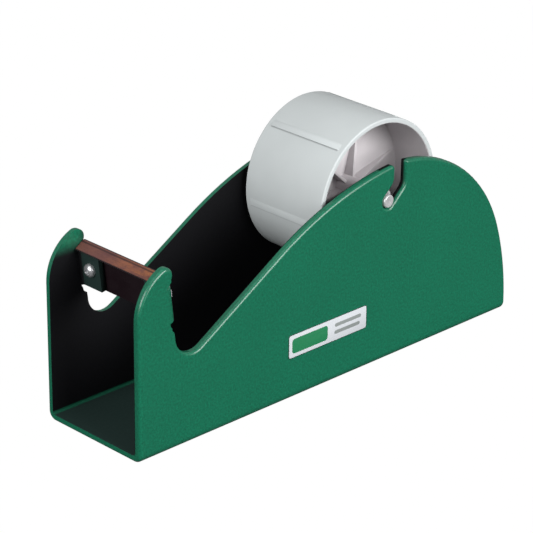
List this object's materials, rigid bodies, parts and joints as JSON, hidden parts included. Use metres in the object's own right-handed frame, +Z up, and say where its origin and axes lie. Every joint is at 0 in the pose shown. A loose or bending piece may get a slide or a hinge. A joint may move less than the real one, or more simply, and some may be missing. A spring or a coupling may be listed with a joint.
{
  "type": "tape dispenser",
  "caption": "Low bench tape dispenser: a bent steel channel with two ears holding a toothed blade, and a plastic core drum on an axle in bent slots.",
  "frame": {"origin": "middle of the footprint, on the surface that the rubber pads stand on", "axes": "+X to the rear along the channel, the cutter is at -X; +Y across, the labelled panel is at -Y; +Z up"},
  "size_m": [0.2382, 0.0624, 0.1215],
  "materials": {
    "green_enamel": "semi-gloss enamel",
    "blade_steel": "browned spring steel, satin",
    "screw_plating": "bright zinc plating",
    "axle_steel": "bright turned steel",
    "drum_plastic": "pale grey-green moulding, satin",
    "pad_rubber": "black foam rubber, matt",
    "label_film": "white label film"
  },
  "bodies": {
    "frame": {"base_frame": "green_enamel", "cutter_blade": "blade_steel", "blade_screw_left": "screw_plating", "blade_screw_right": "screw_plating", "blade_washer_left": "screw_plating", "blade_washer_right": "screw_plating", "blade_nut_left": "screw_plating", "blade_nut_right": "screw_plating", "front_pad": "pad_rubber", "rear_pad": "pad_rubber", "side_label": "label_film"},
    "axle": {"axle": "axle_steel", "axle_clip_left": "axle_steel", "axle_clip_right": "axle_steel"},
    "drum": {"core_drum": "drum_plastic"}
  },
  "joints": [
    {"name": "axle_lift", "type": "slide", "parent": "frame", "child": "axle", "axis": [0.7314, 0, 0.682], "range_m": [0, 0.0093]},
    {"name": "drum_spin", "type": "hinge", "parent": "axle", "child": "drum", "pos_m": [0.03363, 0, 0.0837], "axis": [0, -1, 0], "continuous": true}
  ]
}
